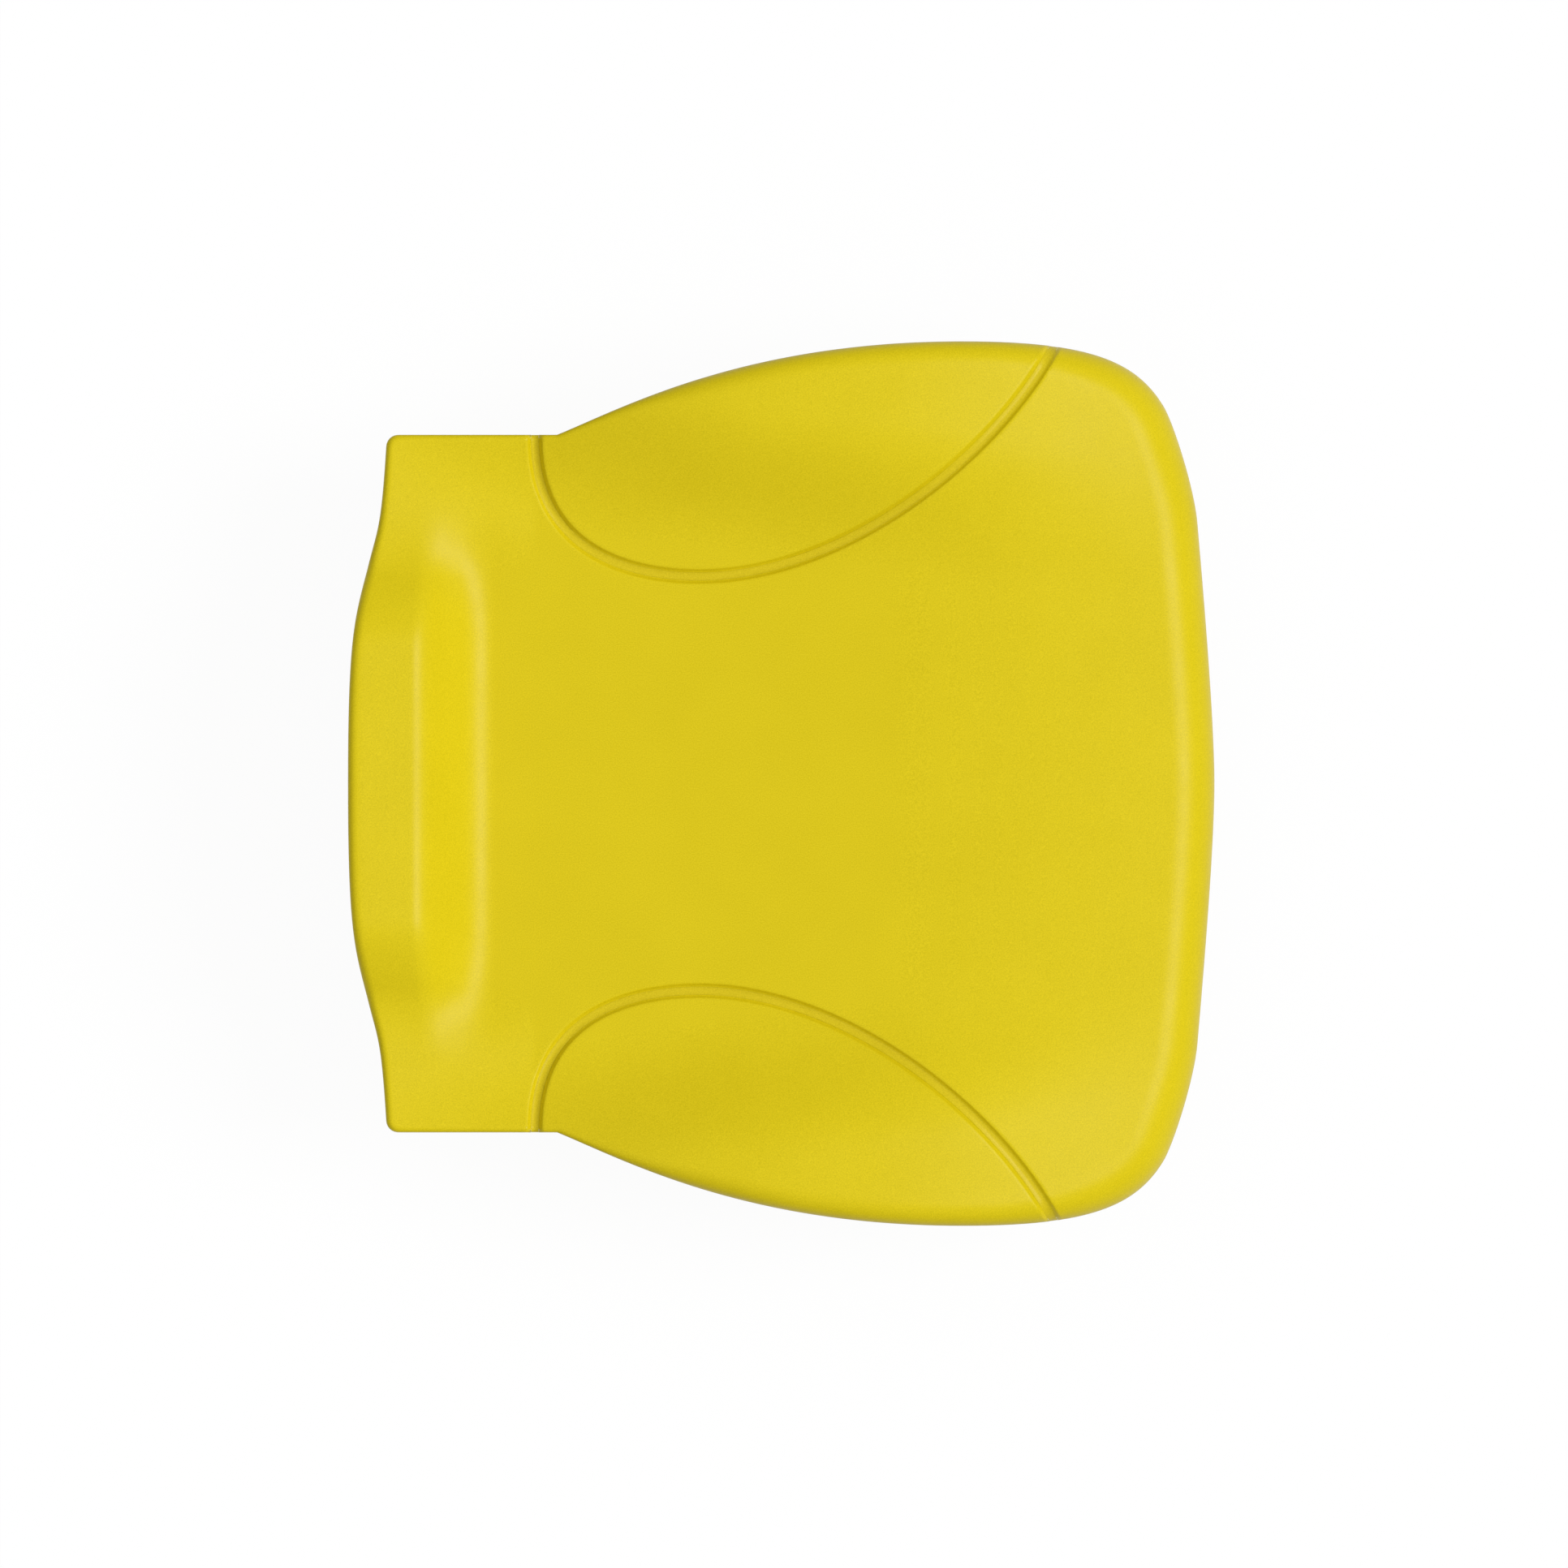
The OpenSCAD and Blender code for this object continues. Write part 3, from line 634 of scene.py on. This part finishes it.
# ---- Sliding frame ----
# Two bars of aluminium with rounded edges ride over the rails. Two flat cross
# bars tie them together, each riveted down twice at either end.

brushed = drawn_alloy("brushed_alloy", (0.58, 0.59, 0.61), (0.70, 0.71, 0.72), (0.32, 0.44))
for node, arris in (("left_beam", 0.4), ("right_beam", 0.4), ("front_bar", 0.5), ("rear_bar", 0.5)):
    dressed(node, brushed, arris)
dressed("bar_rivets", stainless, 0.1)

# ---- Glides, foot bolts and inserts ----
# Sliders of white acetal with their heads in the rails' channels. A bolt
# through each clamps it and the beam to the brass insert in the pan's foot.

acetal = new_finish("white_acetal", (0.30, 0.42), Specular_IOR_Level=0.45)
coloured(acetal, grain(acetal, 200, 3), (0.70, 0.70, 0.66), (0.78, 0.78, 0.74))
embossed(acetal, grain(acetal, 1200, 2), 0.01)
brass = new_finish("brass", (0.26, 0.38), Metallic=1.0)
coloured(brass, grain(brass, 250, 3), (0.66, 0.47, 0.18), (0.76, 0.57, 0.25))
embossed(brass, grain(brass, 1500, 2), 0.01)
for end in ("front", "rear"):
    for side in ("left", "right"):
        dressed(end + "_" + side + "_glide", acetal, 0.4)
dressed("foot_bolts", stainless, 0.25)
dressed("foot_inserts", brass, 0.2)

# ---- Clamps ----
# A T-headed bolt rises from each rail's channel through its beam and a washer.
# The nylon lever, moulded round a brass nut, is swung by hand to pinch the
# beam to the rail. Its hub is fluted and its arm has ridges for the fingers.

dressed("clamp_bolts", stainless, 0.3)
dressed("clamp_washers", stainless, 0.2)

lever_low, lever_high = sides_of("left_clamp_lever")
nut_low, nut_high = sides_of("left_hub_nut")
hub_x, hub_y = (nut_low[:2] + nut_high[:2]) / 2
hub_bore = (nut_high[0] - nut_low[0]) / 2
hub_radius = (lever_high[0] - lever_low[0]) / 2
hub_height = lever_high[2] - lever_low[2]
arm_root = hub_bore + 1.5
arm_tip = hub_y - lever_low[1]
arm_half = 7.5
tip_half = 6.5
arm_low = 1
arm_high = 10
tip_high = 8
flutes = 16
flute_depth = 0.5
ridges = 4
ridge_half = 0.45
grip_start = 0.50
grip_end = 0.92
grip_fade = 0.06
tip_droop = 1.2


def lever_hub():
    """A bored hub with a domed shoulder and shallow flutes round its side."""
    turn = np.linspace(0, 2 * math.pi, 128, endpoint=False)
    shoulder, chamfer, bore_chamfer = 3, 0.8, 0.5
    profile = [(hub_bore, 0), (hub_radius - chamfer, 0), (hub_radius, chamfer)]
    profile += [(hub_radius, z) for z in (2, 3, hub_height - shoulder - 1)]
    for a in np.radians([0, 22, 45, 67, 90]):
        profile.append((hub_radius - shoulder * (1 - math.cos(a)),
                        hub_height - shoulder * (1 - math.sin(a))))
    profile += [(hub_bore + bore_chamfer, hub_height), (hub_bore, hub_height - bore_chamfer)]
    flute = flute_depth * (0.5 + 0.5 * np.cos(flutes * turn))
    rings = []
    for radius, z in profile:
        share = ease(1, shoulder, z) * (1 - ease(hub_height - shoulder, hub_height, z))
        share = share * (radius > hub_radius - 1)
        rings.append(np.c_[(radius - share * flute) * np.cos(turn),
                           (radius - share * flute) * np.sin(turn), np.full(len(turn), z)])
    size, count = len(turn), len(rings)
    faces = [(k * size + i, k * size + j, m * size + j, m * size + i)
             for k in range(count) for m in [(k + 1) % count]
             for i in range(size) for j in [(i + 1) % size]]
    return new_piece("hub", np.vstack(rings), faces)


def lever_arm():
    """A flat arm of soft oblong section, rounded at its tip and ridged near it."""
    turn = np.linspace(0, 2 * math.pi, 32, endpoint=False)
    squared = 2 / 3.2  # a power of 1 is an ellipse, and of 0 a square
    across = np.sign(np.cos(turn)) * abs(np.cos(turn)) ** squared
    upward = np.sign(np.sin(turn)) * abs(np.sin(turn)) ** squared
    rings = []
    for y in np.r_[np.linspace(arm_root, arm_tip - tip_half, 60),
                   arm_tip - tip_half * (1 - np.sin(np.radians(np.linspace(8, 88, 12))))]:
        share = (y - arm_root) / (arm_tip - arm_root)
        end = max(0, (y - arm_tip + tip_half) / tip_half)
        half = (arm_half + (tip_half - arm_half) * share) * math.sqrt(1 - end ** 2)
        high = arm_high + (tip_high - arm_high) * share
        grip = ease(grip_start, grip_start + grip_fade, share)
        grip *= 1 - ease(grip_end - grip_fade, grip_end, share)
        waves = ridges * (share - grip_start) / (grip_end - grip_start)
        high -= ridge_half * grip * (1 - math.cos(2 * math.pi * waves))
        high -= tip_droop * end ** 2
        thick = (high - arm_low) / 2
        rings.append(np.c_[half * across, np.full(len(turn), -y), arm_low + thick * (1 + upward)])
    return new_piece("arm", *through(rings))


for side, mirror in (("left", 1), ("right", -1)):
    lever = moulded_together(side + "_lever_moulding", [lever_hub(), lever_arm()])
    place = Vector((hub_x * MM, mirror * hub_y * MM, lever_low[2] * MM))
    for corner in lever.data.vertices:
        corner.co.y *= mirror
        corner.co += place
    if mirror < 0:
        lever.data.flip_normals()
    lever.data.materials.append(nylon)
    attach(lever, side + "_lever")
    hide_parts(side + "_clamp_lever")
    dressed(side + "_hub_nut", brass, 0.25)

# ---- Floor, light and camera ----
# White paper under a sky that darkens towards the floor, and one soft lamp from
# the bow, low enough to shade the lip and the wings. The camera looks straight
# down.

paper_half = 20
paper_drop = 0.0003
paper_mesh = bpy.data.meshes.new("paper")
paper_mesh.from_pydata([(x * paper_half, y * paper_half, -paper_drop)
                        for x, y in ((-1, -1), (1, -1), (1, 1), (-1, 1))], [], [(0, 1, 2, 3)])
paper = placed("paper", paper_mesh)
white = bpy.data.materials.new("white_paper")
white.use_nodes = True
nodes, links = white.node_tree.nodes, white.node_tree.links
sheet = nodes["Principled BSDF"]
sheet.inputs["Base Color"].default_value = (0.97, 0.97, 0.97, 1)
sheet.inputs["Roughness"].default_value = 0.9
sheet.inputs["Specular IOR Level"].default_value = 0


def mix_of(nodes, links, share, first, second):
    """The first shader where share is 0 and the second where it is 1."""
    mix = nodes.new("ShaderNodeMixShader")
    links.new(share, mix.inputs[0])
    links.new(first, mix.inputs[1])
    links.new(second, mix.inputs[2])
    return mix.outputs[0]


def seen_directly(nodes, links, strength):
    """strength for what the camera or a reflection sees, 0 for what lights the seat."""
    ray = nodes.new("ShaderNodeLightPath")
    either = nodes.new("ShaderNodeMath")
    either.operation = "MAXIMUM"
    links.new(ray.outputs["Is Camera Ray"], either.inputs[0])
    links.new(ray.outputs["Is Glossy Ray"], either.inputs[1])
    share = nodes.new("ShaderNodeMath")
    share.operation = "MULTIPLY"
    share.inputs[1].default_value = strength
    links.new(either.outputs[0], share.inputs[0])
    return share.outputs[0]


glow = nodes.new("ShaderNodeEmission").outputs[0]
grey = nodes.new("ShaderNodeBsdfDiffuse")
grey.inputs["Color"].default_value = (0.43, 0.43, 0.43, 1)
below = nodes.new("ShaderNodeNewGeometry").outputs["Backfacing"]
clear = nodes.new("ShaderNodeBsdfTransparent").outputs[0]
seen = mix_of(nodes, links, seen_directly(nodes, links, 0.95), sheet.outputs[0], glow)
lit = mix_of(nodes, links, seen_directly(nodes, links, 1), grey.outputs[0], seen)
links.new(mix_of(nodes, links, below, lit, clear), nodes["Material Output"].inputs["Surface"])
paper_mesh.materials.append(white)

studio = bpy.data.worlds.new("studio")
bpy.context.scene.world = studio
studio.use_nodes = True
nodes, links = studio.node_tree.nodes, studio.node_tree.links
dome = nodes["Background"]
dome.inputs["Color"].default_value = (1, 1, 1, 1)
rise = nodes.new("ShaderNodeSeparateXYZ")
links.new(nodes.new("ShaderNodeTexCoord").outputs["Generated"], rise.inputs[0])
graded = nodes.new("ShaderNodeMapRange")
graded.inputs["To Min"].default_value = 0.14
graded.inputs["To Max"].default_value = 0.80
links.new(rise.outputs["Z"], graded.inputs["Value"])
links.new(graded.outputs[0], dome.inputs["Strength"])
plain = nodes.new("ShaderNodeBackground")
plain.inputs["Color"].default_value = (1, 1, 1, 1)
sky = mix_of(nodes, links, nodes.new("ShaderNodeLightPath").outputs["Is Camera Ray"],
             dome.outputs[0], plain.outputs[0])
links.new(sky, nodes["World Output"].inputs["Surface"])

lamp = bpy.data.lights.new("bow_lamp", "SUN")
lamp.energy = 1.97
lamp.angle = math.radians(28)
bow_lamp = placed("bow_lamp", lamp)
bow_lamp.rotation_euler = (0, math.radians(43), math.radians(4))

view_width = 0.7799
view_centre = (0.0014, -0.0002)
lens = bpy.data.cameras.new("camera")
lens.type = "ORTHO"
lens.ortho_scale = view_width
camera = placed("camera", lens)
camera.location = (*view_centre, 1.5)
bpy.context.scene.camera = camera
bpy.context.scene.view_settings.view_transform = "Standard"
